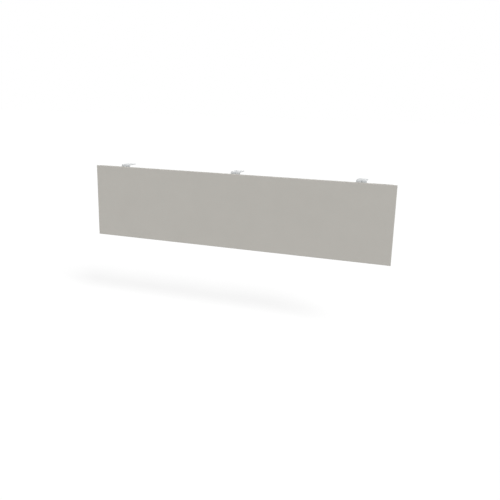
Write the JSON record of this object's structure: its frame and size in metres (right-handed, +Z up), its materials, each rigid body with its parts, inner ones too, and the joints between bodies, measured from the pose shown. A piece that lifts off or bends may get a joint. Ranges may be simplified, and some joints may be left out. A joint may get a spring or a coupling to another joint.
{
  "type": "desk privacy panel",
  "caption": "Folded sheet-steel privacy panel with a plain front, stiffened behind and hung from angle brackets under a desktop.",
  "frame": {"origin": "the middle of the centre bracket's seat, midway between its two slots, in the mounting plane", "axes": "+Z up, square to the mounting plane; +X along the width, to the right as seen from the front; -Y towards the front, the side that the plain face looks to"},
  "size_m": [1.425, 0.0783, 0.35],
  "materials": {
    "panel_coat": "warm grey fine-texture powder coat, matte",
    "bracket_coat": "light grey powder coat, satin",
    "zinc_plate": "bright zinc plate"
  },
  "bodies": {
    "root": {"face_panel": "panel_coat", "stiffener_left": "panel_coat", "bracket_left": "bracket_coat", "screw_left_upper": "zinc_plate", "washer_left_upper": "zinc_plate", "weld_nut_left_upper": "zinc_plate", "screw_left_lower": "zinc_plate", "washer_left_lower": "zinc_plate", "weld_nut_left_lower": "zinc_plate", "stiffener_centre": "panel_coat", "bracket_centre": "bracket_coat", "screw_centre_upper": "zinc_plate", "washer_centre_upper": "zinc_plate", "weld_nut_centre_upper": "zinc_plate", "screw_centre_lower": "zinc_plate", "washer_centre_lower": "zinc_plate", "weld_nut_centre_lower": "zinc_plate", "stiffener_right": "panel_coat", "bracket_right": "bracket_coat", "screw_right_upper": "zinc_plate", "washer_right_upper": "zinc_plate", "weld_nut_right_upper": "zinc_plate", "screw_right_lower": "zinc_plate", "washer_right_lower": "zinc_plate", "weld_nut_right_lower": "zinc_plate"}
  },
  "joints": []
}
